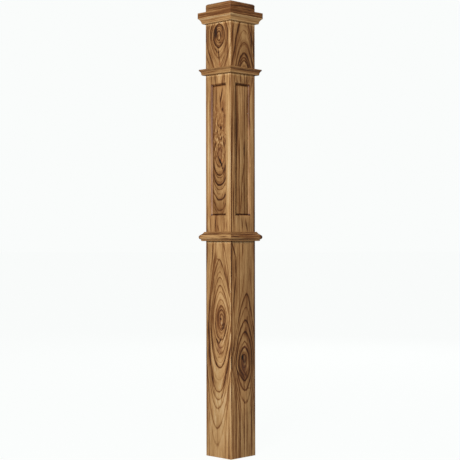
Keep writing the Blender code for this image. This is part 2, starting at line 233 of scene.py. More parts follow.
def newel_wood(
    name, place, seed, knots=(), marks=(), window_marks=(), flecks=(), stains=(), calm=(),
    ring_width=9.0, tone=0.0, wander=9.0, contrast=1.0, worn_edge=None,
):
    """Plain-sawn brown hardwood under a thin satin lacquer: growth rings that close in long
    ovals round each knot, fine dark fibre lines, and open pores that run up the board.
    place(tree) gives the point on the board in millimetres: across, in depth, and up the grain.
    A knot is (across, up, spread, lean, reach up, reach down, roundness below it, rings), and
    one of its rings (radius, half width, strength above the knot, strength below it). A mark
    has the values that streak takes; a window mark only shows behind the face, a stain has its
    colour first, flecks are zones of tangled grain, and calm zones have fainter rings. The
    corners of a board, worn_edge from its middle, are rubbed paler."""
    material = bpy.data.materials.new(name)
    material.use_nodes = True
    tree = material.node_tree
    add = partial(put, tree)
    shader = tree.nodes["Principled BSDF"]

    def stretched_noise(
        at, size, shift=(0, 0, 0), detail=3.0, roughness=0.6, distortion=0.0, output=0
    ):
        """Noise with a grain of the given size in millimetres: across, in depth, and up."""
        scale = [1 / length for length in size]
        at = add("ShaderNodeMapping", {"Vector": at, "Location": shift, "Scale": scale})
        values = {"Vector": at, "Scale": 1.0, "Detail": detail, "Roughness": roughness}
        return add("ShaderNodeTexNoise", {**values, "Distortion": distortion}, output)

    def streak(mark_across, mark_up, half_width, half_length, strength, slope=0):
        """The mask of a mark or zone, which wobbles with the grain, and its strength."""
        values = (wobbled, up, mark_across, mark_up, half_width, half_length, slope)
        return add("ShaderNodeGroup", values, node_tree=MARK), strength

    point = place(tree)
    across, depth, up = (add("ShaderNodeSeparateXYZ", (point,), axis) for axis in range(3))
    # Slow swing of the grain and of its colour, about 70 mm across and 300 mm up
    slow = stretched_noise(point, (70, 120, 300), (seed, seed * 1.7, 0), 2.0, 0.5, output="Color")
    slow_a, slow_b, slow_c = (add("ShaderNodeSeparateColor", (slow,), part) for part in range(3))
    # Short wobble of each line, about 10 mm across and 60 mm up
    short = stretched_noise(point, (10, 20, 60), (seed * 2.3, 4, seed), 3.0, 0.55, output="Color")
    short_a, short_b, short_c = (
        add("ShaderNodeSeparateColor", (short,), part) for part in range(3)
    )
    noises = (slow_a, short_a, short_c)
    swing, wobble, ripple = (add("SUBTRACT", (noise, 0.5)) for noise in noises)
    wobbled = add("MULTIPLY_ADD", (wobble, WOBBLE, across))
    swung = add("MULTIPLY_ADD", (swing, 2 * wander, wobbled))

    # Distance from the heart of the grain: it grows quickly across the board and slowly up it,
    # and at the end of a knot's reach the grain runs straight again
    heart = None
    steep = 1.0
    shade = 0.0
    for knot_across, knot_up, spread, lean, reach_up, reach_down, round_below, rings in knots:
        rise = add("SUBTRACT", (up, knot_up))
        held = add("SMOOTH_MIN", (rise, reach_up, LET_GO))
        held = add("SMOOTH_MAX", (held, -reach_down, LET_GO))
        height = add("ABSOLUTE", (held,))
        aside = add("SUBTRACT", (swung, knot_across))
        aside = add("MULTIPLY_ADD", (height, -lean, aside))
        aside = add("ABSOLUTE", (aside,))
        square = add("MULTIPLY_ADD", (held, held, CORE**2))
        dive = add("POWER", (square, DIVE / 2))
        dive = add("MULTIPLY_ADD", (dive, spread, -spread * CORE**DIVE))
        bend = add("ShaderNodeMapRange", (rise, -90.0, 10.0, round_below, BEND))
        root = add("DIVIDE", (1.0, bend))
        less = add("SUBTRACT", (bend, 1.0))
        wide = add("POWER", (aside, bend))
        tall = add("POWER", (dive, bend))
        away = add("ADD", (wide, tall))
        away = add("POWER", (away, root))
        # How fast that distance grows here, so that a line is as thin at the tip of an oval
        # as along its sides
        wide = add("DIVIDE", (aside, away))
        wide = add("POWER", (wide, less))
        tall = add("DIVIDE", (dive, away))
        tall = add("POWER", (tall, less))
        climb = add("POWER", (square, DIVE / 2 - 1))
        for factor in (height, DIVE * spread, tall):
            climb = add("MULTIPLY", (climb, factor))
        near = add("ShaderNodeCombineXYZ", (wide, climb, LEAST_STEEP))
        near = add("ShaderNodeVectorMath", (near,), "Value", operation="LENGTH")
        sway = add("MULTIPLY", (ripple, near))
        away = add("MULTIPLY_ADD", (sway, WOBBLE, away))
        # The knot's dark rings, which die out beyond its reach
        over = add("MULTIPLY", (rise, 1 / reach_up))
        under = add("MULTIPLY", (rise, -1 / reach_down))
        past = add("MAXIMUM", (over, under))
        fade = add("ShaderNodeMapRange", (past, 1.0, 1.7, 1.0, 0.0), **SMOOTH)
        above = add("ShaderNodeMapRange", (rise, -15.0, 15.0))
        for radius, half_width, strength_above, strength_below in rings:
            side = add("SUBTRACT", (away, radius))
            side = add("DIVIDE", (side, near))
            off = add("ABSOLUTE", (side,))
            line = add("ShaderNodeMapRange", (off, 1.2 * half_width, 0.2 * half_width), **SMOOTH)
            # the wood darkens towards the line from its inner side
            brown = add("ShaderNodeMapRange", (side, -3 * half_width, 0.0, 0.0, SHOULDER))
            inner = add("LESS_THAN", (side, 0.0))
            brown = add("MULTIPLY", (brown, inner))
            line = add("MAXIMUM", (line, brown))
            level = (above, strength_above - strength_below, strength_below)
            level = add("MULTIPLY_ADD", level)
            level = add("MULTIPLY", (level, fade))
            shade = add("MULTIPLY_ADD", (line, level, shade))
        if heart is None:
            heart = away
            steep = near
        else:
            steep = add("MAXIMUM", (steep, near))
            heart = add("SMOOTH_MIN", (heart, away, TWO_KNOTS))
    if heart is None:
        heart = add("ADD", (swung, FAR_HEART + seed))

    # Growth rings: each darkens slowly and stops at a sharp line, and no two are as strong
    spacing = {"W": heart, "Scale": 1 / 17, "Detail": 2.0, "Roughness": 0.6}
    uneven = add("ShaderNodeTexNoise", spacing, noise_dimensions="1D")
    uneven = add("MULTIPLY", (uneven, 3.2))
    phase = add("MULTIPLY_ADD", (heart, 1 / ring_width, uneven))
    count = add("FLOOR", (phase,))
    count = add("ADD", (count, seed * 3.1))
    lottery = add("ShaderNodeTexWhiteNoise", {"W": count}, noise_dimensions="1D")
    lottery = add("POWER", (lottery, 1.8))
    lottery = add("MULTIPLY_ADD", (lottery, 0.75, 0.12))
    part = add("FRACT", (phase,))
    rest = add("MULTIPLY_ADD", (part, -ring_width, ring_width))
    rest = add("DIVIDE", (rest, steep))
    ring = add("ShaderNodeMapRange", (rest, 0.65 * ring_width, 0.1 * ring_width), **SMOOTH)
    stop = add("ShaderNodeMapRange", (part, 0.9, 1.0, 1.0, 0.0))
    patchy = add("MULTIPLY_ADD", (slow_c, 1.6, 0.15))
    for factor in (stop, lottery, patchy):
        ring = add("MULTIPLY", (ring, factor))
    for zone in calm:
        mask, strength = streak(*zone)
        keep = add("MULTIPLY_ADD", (mask, -strength, 1.0))
        ring = add("MULTIPLY", (ring, keep))

    # Ribbons of paler and darker growth about 8 mm wide and 300 mm long, and fibre lines about
    # 3 mm apart and 150 mm long; both flow round the knots with the rings
    aside = add("MULTIPLY_ADD", (swung, 0.5, depth))
    flow = add("ShaderNodeCombineXYZ", (heart, aside, up))
    ribbons = stretched_noise(flow, (8, 40, 300), (seed, 2, seed), 2.0, 0.5)
    lines = stretched_noise(flow, (2.6, 24, 150), (seed, seed, 0))
    fine_lines = add("ShaderNodeMapRange", (lines, 0.46, 0.28))

    # Fibres and pores: open vessels about 0.5 mm wide and 9 mm long, fewer in the dark wood
    fibres = stretched_noise(point, (1.1, 2, 24))
    pores = stretched_noise(point, (0.55, 0.9, 9), (seed, 0, 3), 1.0, 0.5)
    pores = add("ShaderNodeMapRange", (pores, 0.40, 0.30), **SMOOTH)
    early = add("ShaderNodeMapRange", (part, 0.0, 0.7, 1.0, 0.35))
    pores = add("MULTIPLY", (pores, early))

    # All that darkens the wood is summed, each part by its weight, from 0 for pale sapwood to 1
    # for a black knot; a noise is counted from its middle, so it darkens and lightens alike
    noises = ((ribbons, 0.70 * contrast), (slow_b, 0.42), (short_b, 0.30), (fibres, 0.42))
    growths = ((ring, 0.55 * contrast), (fine_lines, 0.18 * contrast), (pores, 0.16))
    total = PLAIN_TONE + tone - 0.5 * sum(weight for noise, weight in noises)
    for value, weight in (*growths, *noises):
        total = add("MULTIPLY_ADD", (value, weight, total))
    if knots:
        broken = add("MULTIPLY_ADD", (short_b, 1.5, 0.25))
        total = add("MULTIPLY_ADD", (shade, broken, total))
    for zone in flecks:
        # Tangled grain over a knot shows as short flecks, about 6 mm by 16 mm
        fleck = stretched_noise(point, (6, 10, 16), detail=2.0, distortion=0.8)
        fleck = add("ADD", (fleck, -0.48))
        mask, strength = streak(*zone)
        fleck = add("MULTIPLY", (fleck, mask))
        total = add("MULTIPLY_ADD", (fleck, strength, total))
    for mark in marks:
        total = add("MULTIPLY_ADD", (*streak(*mark), total))
    if window_marks:
        behind = add("ShaderNodeMapRange", (depth, WINDOW_LIP, WINDOW_LIP + 1))
    for mark in window_marks:
        mask, strength = streak(*mark)
        mask = add("MULTIPLY", (mask, behind))
        total = add("MULTIPLY_ADD", (mask, strength, total))
    if worn_edge is not None:
        # Hands and dusters rub the eased corners paler, in patches
        side = add("ABSOLUTE", (across,))
        rubbed = (side, worn_edge - RUBBED_WIDTH, worn_edge, 0.0, RUBBED_TONE)
        edge = add("ShaderNodeMapRange", rubbed, **SMOOTH)
        edge = add("MULTIPLY", (edge, short_b))
        total = add("SUBTRACT", (total, edge))

    colour = add("ShaderNodeValToRGB", (total,))
    stops = colour.node.color_ramp.elements
    for position, code in WOOD_TONES[1:-1]:
        stops.new(position).color = linear(code)
    stops[0].color = linear(WOOD_TONES[0][1])
    stops[-1].color = linear(WOOD_TONES[-1][1])
    # Some growth is redder, in slow patches, and the stains lie over it
    red = add("ShaderNodeMapRange", (slow_c, 0.45, 0.75, 0.0, 0.4))
    tints = [(red, RED_GROWTH, "MULTIPLY")]
    for code, *mark in stains:
        tints.append((add("MULTIPLY", streak(*mark)), code, "MIX"))
    # The colours of a mix node are its inputs 6 and 7 and its output 2
    for mask, code, blend in tints:
        layers = {0: mask, 6: colour, 7: linear(code)}
        colour = add("ShaderNodeMix", layers, 2, data_type="RGBA", blend_type=blend)

    # Dark late wood is harder and takes a better polish than the open pores
    rough = add("MULTIPLY_ADD", (pores, 0.22, SATIN_ROUGHNESS))
    rough = add("MULTIPLY_ADD", (fibres, 0.12, rough))
    relief = add("MULTIPLY_ADD", (pores, -1.0, fibres))
    relief = add("MULTIPLY_ADD", (ring, 0.5, relief))
    bump = {"Height": relief, "Strength": 0.5, "Distance": GRAIN_RELIEF}
    bump = add("ShaderNodeBump", bump)
    for socket, value in (("Base Color", colour), ("Roughness", rough), ("Normal", bump)):
        tree.links.new(value, shader.inputs[socket])
    shader.inputs["IOR"].default_value = LACQUER_IOR
    shader.inputs["Coat Weight"].default_value = 0.05
    shader.inputs["Coat Roughness"].default_value = 0.3
    return material


def turned_place(quarter_turns):
    """The point on a board in millimetres, as if the board stood at the front."""

    def place(tree):
        world_point = put(tree, "ShaderNodeTexCoord", output="Object")
        turn = (0, 0, -quarter_turns * math.pi / 2)
        values = {"Vector": world_point, "Rotation": turn, "Scale": (1000, 1000, 1000)}
        return put(tree, "ShaderNodeMapping", values)

    return place


def merged_copy(node):
    """A CAD node's mesh with its loose triangles merged into plain faces."""
    shape = bmesh.new()
    shape.from_mesh(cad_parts[node].data)
    bmesh.ops.remove_doubles(shape, verts=shape.verts, dist=0.00001)
    flat = math.radians(0.5)
    bmesh.ops.dissolve_limit(shape, angle_limit=flat, verts=shape.verts, edges=shape.edges)
    return shape


def rounded_square(half, radius, steps):
    """Corner points of a square with rounded corners, anticlockwise."""
    points = []
    for corner in range(4):
        turn = math.radians(90 * corner + 45)
        centre_x = math.copysign(half - radius, math.cos(turn))
        centre_y = math.copysign(half - radius, math.sin(turn))
        for step in range(steps + 1):
            angle = math.radians(90 * corner + 90 * step / steps)
            points.append((centre_x + radius * math.cos(angle), centre_y + radius * math.sin(angle)))
    return points


def evaluated_mesh(thing):
    """The mesh that an object's modifier makes; the object itself is deleted."""
    bpy.context.view_layer.update()
    made = thing.evaluated_get(bpy.context.evaluated_depsgraph_get())
    mesh = bpy.data.meshes.new_from_object(made)
    bpy.data.objects.remove(thing, do_unlink=True)
    return mesh


MITRE_TOLERANCE = 0.0004
board_shape = merged_copy("side_board_front")
for vertex in board_shape.verts:
    half_width = -vertex.co.y
    if abs(abs(vertex.co.x) - half_width) < MITRE_TOLERANCE:
        vertex.co.x = math.copysign(half_width - JOINT_GAP / 2, vertex.co.x)
board = placed("side_board", mesh_of(board_shape, "side_board"))

EASING_FOOT = -0.01
EASING_HEAD = 1.6
EASING_PROUD = 0.00001  # so that the corners are cut but not the faces
easing_shape = bmesh.new()
outline = [
    easing_shape.verts.new((x, y, EASING_FOOT))
    for x, y in rounded_square(HALF_SHAFT + EASING_PROUD, CORNER_RADIUS, CORNER_STEPS)
]
easing_foot = easing_shape.faces.new(outline)
easing_head = bmesh.ops.extrude_face_region(easing_shape, geom=[easing_foot])
for thing in easing_head["geom"]:
    if isinstance(thing, bmesh.types.BMVert):
        thing.co.z = EASING_HEAD
bmesh.ops.recalc_face_normals(easing_shape, faces=easing_shape.faces)
easing = placed("corner_easing", mesh_of(easing_shape, "corner_easing"))
ease = board.modifiers.new("eased_corners", "BOOLEAN")
ease.operation = "INTERSECT"
ease.solver = "EXACT"
ease.object = easing
eased_mesh = evaluated_mesh(board)
bpy.data.objects.remove(easing, do_unlink=True)

# The window's edges are taken off with fine paper
WINDOW_HALF_WIDTH = 0.0372
WINDOW_DEPTH = 0.0056
WINDOW_FOOT = 0.8
WINDOW_HEAD = 1.26
board_shape = bmesh.new()
board_shape.from_mesh(eased_mesh)
window_edges = []
for edge in board_shape.edges:
    level = abs(edge.verts[0].co.y - edge.verts[1].co.y) < 0.00001
    inside = all(
        abs(vertex.co.x) < WINDOW_HALF_WIDTH
        and vertex.co.y < -HALF_SHAFT + WINDOW_DEPTH
        and WINDOW_FOOT < vertex.co.z < WINDOW_HEAD
        for vertex in edge.verts
    )
    if inside and level:
        window_edges.append(edge)
bmesh.ops.bevel(
    board_shape, geom=window_edges, offset=WINDOW_EASING, segments=2, profile=0.5, affect="EDGES"
)
board_shape.to_mesh(eased_mesh)
board_shape.free()

# Each figure is in millimetres from the middle of the face and up from the floor.
# Painted shade lies under a window's head and in its sill, and runs down the sill's mitres;
# painted light on the faces just under each moulding takes out the shadow that it casts.
SHAFT_PAINTED_LIGHT_AND_SHADE = (
    (0, 1454, 400, 7, -0.25), (0, 1280, 400, 6, -0.2), (0, 721, 400, 7, -0.22),
    (-35, 810, 1.6, 4.5, 0.5, 1), (35, 810, 1.6, 4.5, 0.5, -1),
)
WINDOW_PAINTED_SHADE = ((0, 1248, 400, 9, 0.34), (0, 813, 400, 4.5, 0.62))
FRONT_BOARD_KNOTS = (
    (12, 461, 47, -0.05, 240, 430, 2.2, (
        (9, 2.4, 0.4, 0.4), (16, 3, 0.56, 0.56), (22, 2.4, 0.42, 0.22), (29, 2.6, 0.32, 0.54),
        (36, 2.4, 0.22, 0.36), (41, 2.4, 0.38, 0.12), (46, 2, 0.35, 0.2), (49, 3.4, 0.12, 0.62),
        (55, 2.6, 0.38, 0.14), (60, 2.8, 0.08, 0.4), (63, 2.6, 0.06, 0.36), (66, 2.6, 0.2, 0.34),
        (72, 2.8, 0.08, 0.34), (76, 2.8, 0, 0.15),
    )),
    (5, 1411, 62, 0.0, 80, 150, 1.7, (
        (8, 2, 0.3, 0.25), (15, 2, 0.25, 0.25), (24, 3.4, 0.42, 0.4), (33, 2, 0.2, 0.15),
        (41, 2.4, 0.35, 0.15), (52, 2.4, 0.3, 0.15),
    )),
)
FRONT_BOARD_MARKS = (
    *SHAFT_PAINTED_LIGHT_AND_SHADE,
    # paler lower shaft, darker neck
    (0, 330, 400, 460, -0.09), (0, 1410, 400, 130, 0.1),
    # pale sapwood beside the right-hand corner
    (57, 1390, 9, 110, -0.36), (50, 1010, 17, 330, -0.17), (58, 350, 10, 420, -0.22),
    # darker edge at the left-hand corner, painted as shade
    (-61, 750, 8, 900, 0.45), (-54, 180, 4, 300, 0.3), (-36, 80, 8, 140, -0.16, 0.02),
    (-2, 90, 22, 100, 0.08), (41, 70, 6, 130, -0.14), (49, 70, 3, 130, 0.34),
    # round the knot in the neck
    (-10, 1424, 9, 30, 0.6, 0.05), (5, 1410, 22, 40, 0.2), (-2, 1408, 3, 12, 0.35, 0.3),
    (14, 1412, 3, 12, 0.35, -0.3), (-6, 1425, 4, 16, 0.3, 0.05), (2, 1443, 12, 3.5, 0.25),
    (9, 1388, 8, 4, 0.4), (14, 1378, 8, 3, 0.22), (7, 1404, 5, 10, -0.22), (20, 1430, 3, 26, 0.4),
    (4, 1345, 4, 42, 0.55, -0.14), (-8, 1361, 3.4, 18, 0.44, -0.3), (24, 1331, 3.2, 18, 0.4, 0.51),
    (-39, 1348, 3, 36, 0.42, -0.46), (-48, 1332, 3, 26, 0.34, -0.46), (-30, 1420, 3, 44, 0.26, 0.1),
    (34, 1390, 2.6, 90, 0.22, 0.03), (44, 1390, 2.6, 90, 0.34),
    # rails and stiles
    (-14, 1268, 3, 26, 0.5), (-32, 1268, 3, 26, 0.4), (30, 1268, 3, 26, 0.45), (56, 1250, 4, 44, 0.34),
    (44, 1262, 3, 26, 0.2), (8, 1268, 14, 26, -0.1), (-46, 1010, 6, 300, -0.18),
    (-41, 1010, 2.4, 300, 0.26), (-14, 782, 3.8, 34, 0.52, 0.02), (-46, 782, 8, 30, -0.14),
    (-37, 782, 2.6, 34, 0.34), (-1, 768, 3, 14, 0.4, -0.5), (30, 782, 2.6, 34, 0.3),
    (41, 776, 2.6, 30, 0.4),
    # the long knot in the lower shaft
    (12, 464, 4, 6, 0.9), (16, 450, 5, 10, -0.22), (8, 456, 3, 12, 0.4, 0.2), (9, 470, 26, 60, 0.18),
    (6, 400, 34, 70, 0.09), (33, 427, 4, 32, 0.4, 0.35), (25, 402, 3.6, 28, 0.36, 0.5),
    (18, 434, 10, 5, 0.6), (25, 447, 3.6, 16, 0.55, -0.1), (-6, 390, 5, 16, 0.7, -0.5),
    (8, 391, 5, 18, 0.66, 0.6), (5, 366, 14, 18, 0.16), (-3, 356, 3, 10, 0.34, -0.6),
    (9, 350, 3, 10, 0.34, 0.6), (2, 336, 8, 4, 0.3), (-2, 655, 5, 8, -0.2), (-2, 664, 7, 4, 0.28),
    (25, 708, 3, 30, 0.45, -0.3), (-27, 690, 3.2, 60, 0.42), (-51, 690, 3, 60, 0.34),
    (-6, 700, 18, 40, -0.22), (-49, 430, 10, 140, -0.22), (44, 600, 6, 90, 0.2),
)
FRONT_BOARD_STAINS = (
    ("8A4A28", 9, 1315, 8, 16, 0.45), ("2A1A0E", -11, 1424, 6, 26, 0.85, 0.05),
    ("6E3E20", -34, 1120, 8, 220, 0.5), ("7A4A38", 4, 366, 18, 26, 0.35),
    ("A4693E", 5, 430, 40, 150, 0.12), ("84502C", 11, 456, 18, 32, 0.3), ("20100A", 12, 465, 4.4, 8, 1),
    ("3A2010", 22, 441, 5, 14, 0.75, -0.5), ("321A0C", -5, 390, 5, 14, 0.7, -0.5),
    ("321A0C", 8, 391, 5, 16, 0.6, 0.6),
)
FRONT_BOARD_CALM = ((0, 782, 70, 45, 0.6), (0, 1268, 70, 30, 0.6))
RIGHT_BOARD_KNOTS = (
    (2, 322, 47, 0.07, 260, 160, 1.9, (
        (10, 3, 0.5, 0.5), (22, 4.2, 0.56, 0.2), (28, 3, 0.25, 0.46), (37, 3.8, 0.52, 0.46),
        (45, 3.6, 0.52, 0.34), (52, 2, 0.3, 0.3), (58, 3.4, 0.42, 0.26), (65, 2.2, 0.2, 0.3),
    )),
    (6, 1296, 49.5, 0.0, 200, 60, 1.8, (
        (16, 2.8, 0.48, 0), (21, 2.6, 0.34, 0), (27, 3.1, 0.5, 0), (38, 2.2, 0.26, 0), (47, 2, 0.2, 0),
        (55, 3.4, 0.46, 0),
    )),
)
RIGHT_BOARD_MARKS = (
    *SHAFT_PAINTED_LIGHT_AND_SHADE,
    (0, 1410, 400, 130, 0.1),
    # dark lines beside both corners, painted as shade
    (-57, 740, 6, 800, 0.45), (-48, 1010, 12, 330, 0.12), (-48, 1400, 5, 80, 0.36),
    (61, 740, 15, 900, 0.48),
    # the neck
    (-23, 1436, 4, 34, 0.46, 0.3), (-37, 1380, 4, 40, 0.3, 0.1), (41, 1385, 4, 90, 0.46),
    (47, 1385, 2.4, 90, -0.22), (52, 1385, 2.4, 90, 0.26),
    # rails and stiles
    (-39, 1268, 3.4, 26, 0.42), (-11, 1268, 3.4, 26, 0.46), (8, 1268, 3.4, 26, 0.46),
    (19, 1268, 3, 26, 0.4), (-46, 850, 3.4, 90, 0.4), (-50, 1110, 4, 150, 0.34, 0.01),
    (-42, 1000, 2.6, 240, -0.16), (-40, 1060, 2.6, 190, 0.28), (-46, 1060, 2.6, 190, -0.18),
    (-42, 782, 2.6, 34, 0.3), (-4, 782, 4, 34, 0.44, -0.1), (17, 775, 4, 32, 0.52, -0.2),
    # the wavy line in the lower shaft, and the grain that gathers above the knot
    (-45, 697, 4.6, 46, 0.55, -0.36), (-35, 640, 4.6, 44, 0.6, 0.02), (-41, 555, 4.4, 100, 0.55, 0.115),
    (-52, 640, 11, 120, 0.26), (-1, 700, 4, 40, 0.4), (16, 520, 6, 60, 0.26, 0.02),
    (20, 463, 6, 16, 0.28),
    # the black knot and what runs down from it
    (-4, 334, 6, 10, 0.95), (2, 322, 4, 6, 0.5), (9, 314, 6, 9, -0.34), (0, 312, 28, 66, 0.24),
    (11, 420, 12, 26, 0.22), (-42, 325, 20, 80, -0.17), (50, 330, 12, 90, -0.16),
    (-5, 281, 4, 30, 0.45, -0.72), (-16, 277, 3.6, 30, 0.38, -0.72), (6, 285, 3.6, 26, 0.38, -0.72),
    (-26, 290, 3.6, 34, 0.3, -0.6), (4, 240, 3.2, 22, 0.36, -0.15), (27, 230, 8, 4, 0.32),
    (8, 280, 16, 34, 0.14), (-50, 100, 6, 160, 0.32), (-35, 90, 4, 150, 0.44),
    (-15, 90, 4.4, 170, 0.48), (4, 90, 5, 150, 0.58), (18, 90, 4, 130, 0.46), (29, 90, 5, 90, -0.2),
    (40, 100, 5, 150, 0.4),
)
RIGHT_BOARD_STAINS = (
    ("7A4630", 12, 369, 12, 8, 0.4), ("6E4630", 4, 305, 18, 50, 0.4), ("140A06", -4, 336, 9, 14, 1),
    ("24140C", 4, 321, 5, 11, 0.9, -0.3), ("3C2414", 11, 326, 5, 20, 0.6, 0.1),
)
# plainer wood above the knot, in the rails, and over the neck's arches
RIGHT_BOARD_CALM = (
    (12, 655, 60, 130, 0.95), (0, 80, 400, 120, 0.8), (0, 782, 70, 45, 0.8), (0, 1268, 70, 30, 0.8),
    (10, 1420, 24, 50, 0.8),
)
BACK_BOARD_KNOTS = (
    (-9, 236, 48, 0.05, 300, 200, 2.2, (
        (4, 3, 0.5, 0.5), (19, 2.4, 0.45, 0.45), (31, 2.2, 0.3, 0.45), (40, 2.4, 0.45, 0.3),
        (48, 2.2, 0.3, 0.4), (60, 2.6, 0.45, 0.3),
    )),
    (14, 1392, 56, -0.04, 90, 180, 2.0, (
        (4, 3, 0.4, 0.4), (22, 2.6, 0.5, 0.4), (35, 2.2, 0.3, 0.4), (50, 2.4, 0.4, 0.35),
    )),
)
BACK_BOARD_MARKS = (
    *SHAFT_PAINTED_LIGHT_AND_SHADE,
    (-60, 820, 14, 640, -0.28), (56, 700, 6, 740, 0.28), (-9, 236, 5, 8, 0.5),
    (22, 560, 3, 120, 0.34, 0.04), (-24, 600, 3, 90, 0.3, -0.03), (30, 780, 3, 60, 0.34),
)
LEFT_BOARD_KNOTS = (
    (16, 548, 45, -0.05, 150, 330, 2.3, (
        (4, 3, 0.5, 0.5), (17, 2.4, 0.45, 0.5), (29, 2.2, 0.4, 0.3), (40, 2.4, 0.3, 0.5),
        (48, 2.4, 0.4, 0.3), (57, 2.6, 0.3, 0.45),
    )),
    (-12, 1340, 56, 0.04, 150, 60, 1.8, (
        (20, 2.6, 0.5, 0.2), (33, 2.4, 0.4, 0.2), (47, 2.4, 0.4, 0.2),
    )),
)
LEFT_BOARD_MARKS = (
    *SHAFT_PAINTED_LIGHT_AND_SHADE,
    (60, 500, 12, 560, -0.26), (-56, 900, 6, 640, 0.28), (16, 546, 5, 8, 0.5),
    (-20, 190, 3, 150, 0.34, -0.03), (26, 150, 3, 150, 0.3, 0.02), (-31, 1390, 3, 60, 0.34, 0.06),
)
BOARD_FIGURES = {
    "front": {
        "seed": 1.3,
        "knots": FRONT_BOARD_KNOTS,
        "marks": FRONT_BOARD_MARKS,
        "window_marks": (
            *WINDOW_PAINTED_SHADE,
            (-34, 1130, 12, 230, 0.46), (-34, 900, 12, 150, 0.28),
            # less of the painted shade under the head and in the sill on this face
            (-20, 1248, 34, 12, -0.16), (0, 813, 400, 5, -0.16),
        ),
        "stains": FRONT_BOARD_STAINS,
        "calm": FRONT_BOARD_CALM,
    },
    "right": {
        "seed": 7.9,
        "tone": 0.05,
        "knots": RIGHT_BOARD_KNOTS,
        "marks": RIGHT_BOARD_MARKS,
        "window_marks": (
            *WINDOW_PAINTED_SHADE,
            (34, 1180, 12, 120, 0.34), (34, 930, 12, 180, -0.06),
        ),
        "stains": RIGHT_BOARD_STAINS,
        "calm": RIGHT_BOARD_CALM,
    },
    "back": {"seed": 13.6, "knots": BACK_BOARD_KNOTS, "marks": BACK_BOARD_MARKS},
    "left": {"seed": 21.2, "tone": 0.03, "knots": LEFT_BOARD_KNOTS, "marks": LEFT_BOARD_MARKS},
}
SMOOTH_UP_TO = math.radians(32)


def dressed(name, mesh, material, quarter_turns, slot, *replaced):
    """Turns a front piece to its face, gives it its wood, and puts it on the frame."""
    mesh.transform(Matrix.Rotation(quarter_turns * math.pi / 2, 4, "Z"))
    mesh.materials.clear()
    mesh.materials.append(material)
    mesh.shade_smooth()
    mesh.set_sharp_from_angle(angle=SMOOTH_UP_TO)
    piece = placed(name, mesh)
    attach(piece, "root")
    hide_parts(*replaced)


def dress_four(kind, wood_kind, mesh, figures, worn_edge=None):
    """Dresses the four like pieces of a kind, each in its own wood."""
    for turns, facing in enumerate(FACINGS):
        wood_name = f"satin_lacquered_hardwood_{wood_kind}_{facing}"
        # painted shade under the window's head and in its sill, for each piece whose figure lists no
        # window marks
        values = {"window_marks": WINDOW_PAINTED_SHADE, "worn_edge": worn_edge, **figures[facing]}
        wood = newel_wood(wood_name, turned_place(turns), **values)
        node = f"{kind}_{facing}"
        dressed(f"eased_{node}", mesh.copy(), wood, turns, kind, node)


dress_four("side_board", "board", eased_mesh, BOARD_FIGURES, HALF_SHAFT * 1000)


# Panels: a flat board in each window, its field stood forward of the tongue that is held in
# the rabbet, so a fine open groove runs round it. Same wood, cut from other planks.
FIELD_EASING = 0.0004

panel_shape = merged_copy("panel_front")
field_face = min(vertex.co.y for vertex in panel_shape.verts)
field_edges = [
    edge
    for edge in panel_shape.edges
    if all(vertex.co.y < field_face + 0.00002 for vertex in edge.verts)
]
bmesh.ops.bevel(
    panel_shape, geom=field_edges, offset=FIELD_EASING, segments=2, profile=0.5, affect="EDGES"
)
panel_mesh = mesh_of(panel_shape, "panel")
FRONT_PANEL_KNOTS = (
    (2, 1012, 54, 0.0, 110, 200, 2.4, (
        (22, 2, 0, 0.2), (33, 3, 0, 0.6), (36, 2.2, 0, 0.34), (43, 3.4, 0, 0.72), (47, 2.2, 0, 0.35),
        (54.4, 2.8, 0, 0.6), (60, 2.2, 0, 0.3),
    )),
)
FRONT_PANEL_MARKS = (
    (9, 1212, 4, 34, 0.75, 0.217), (15, 1206, 3, 26, -0.25, 0.217), (-16, 1205, 3, 50, 0.42, 0.02),
    (22, 1150, 2.6, 60, 0.3, -0.04), (-24, 1100, 3, 90, 0.3, 0.02), (4, 1190, 3, 40, 0.45, -0.12),
    (13, 1164, 5, 10, 0.55), (-8, 1130, 2.6, 34, 0.34, 0.14), (-5, 1112, 3, 8, 0.4),
    (9, 1103, 4, 8, 0.36), (18, 1112, 2.6, 16, 0.34, 0.34), (-11, 1091, 3.5, 10, 0.48, 0.1),
    (-26, 1010, 6, 60, 0.3), (0, 1028, 24, 34, 0.14), (-22, 1040, 6, 26, 0.34, 0.2),
    (20, 1050, 4, 30, 0.3, -0.2), (-6, 1006, 4, 6, 0.8), (5, 988, 5.5, 21, 1, -0.49),
    (14, 968, 5, 4.5, 0.85), (17, 1000, 8, 24, -0.12), (1, 913, 12, 3.5, 0.25),
    (-18, 895, 2.6, 22, 0.3, -0.62), (14, 880, 2.6, 20, 0.3, 0.4), (18, 851, 2.6, 10, 0.34),
    (-18, 829, 2.6, 15, 0.34, -0.8),
)
FRONT_PANEL_STAINS = (
    ("B5622C", 12, 994, 6, 8, 0.5), ("7A4C34", 0, 1020, 22, 40, 0.3),
    ("180C08", 5, 988, 5.5, 21, 1, -0.49),
)
RIGHT_PANEL_MARKS = (
    # the window's edge keeps the light off this side of the panel
    (-26, 1130, 19, 190, 0.26), (-29, 980, 8, 300, 0.16), (26, 1187, 2.8, 64, 0.42),
    (12, 1090, 2.6, 160, 0.28), (-12, 1015, 6, 80, 0.34), (-12, 900, 3.2, 100, 0.34),
    (13, 1027, 3.6, 44, 0.44), (7, 945, 3.4, 60, 0.46, 0.12), (-2, 855, 3.2, 60, 0.42, 0.09),
    (27, 838, 3.2, 34, 0.42), (2, 1190, 6, 80, -0.16), (-2, 980, 4, 110, -0.16),
)
BACK_PANEL_KNOTS = (
    (-6, 1148, 52, 0.04, 120, 220, 2.2, (
        (4, 3, 0.4, 0.4), (18, 2.4, 0.4, 0.45), (30, 2.2, 0.45, 0.3), (44, 2.4, 0.3, 0.45),
    )),
)
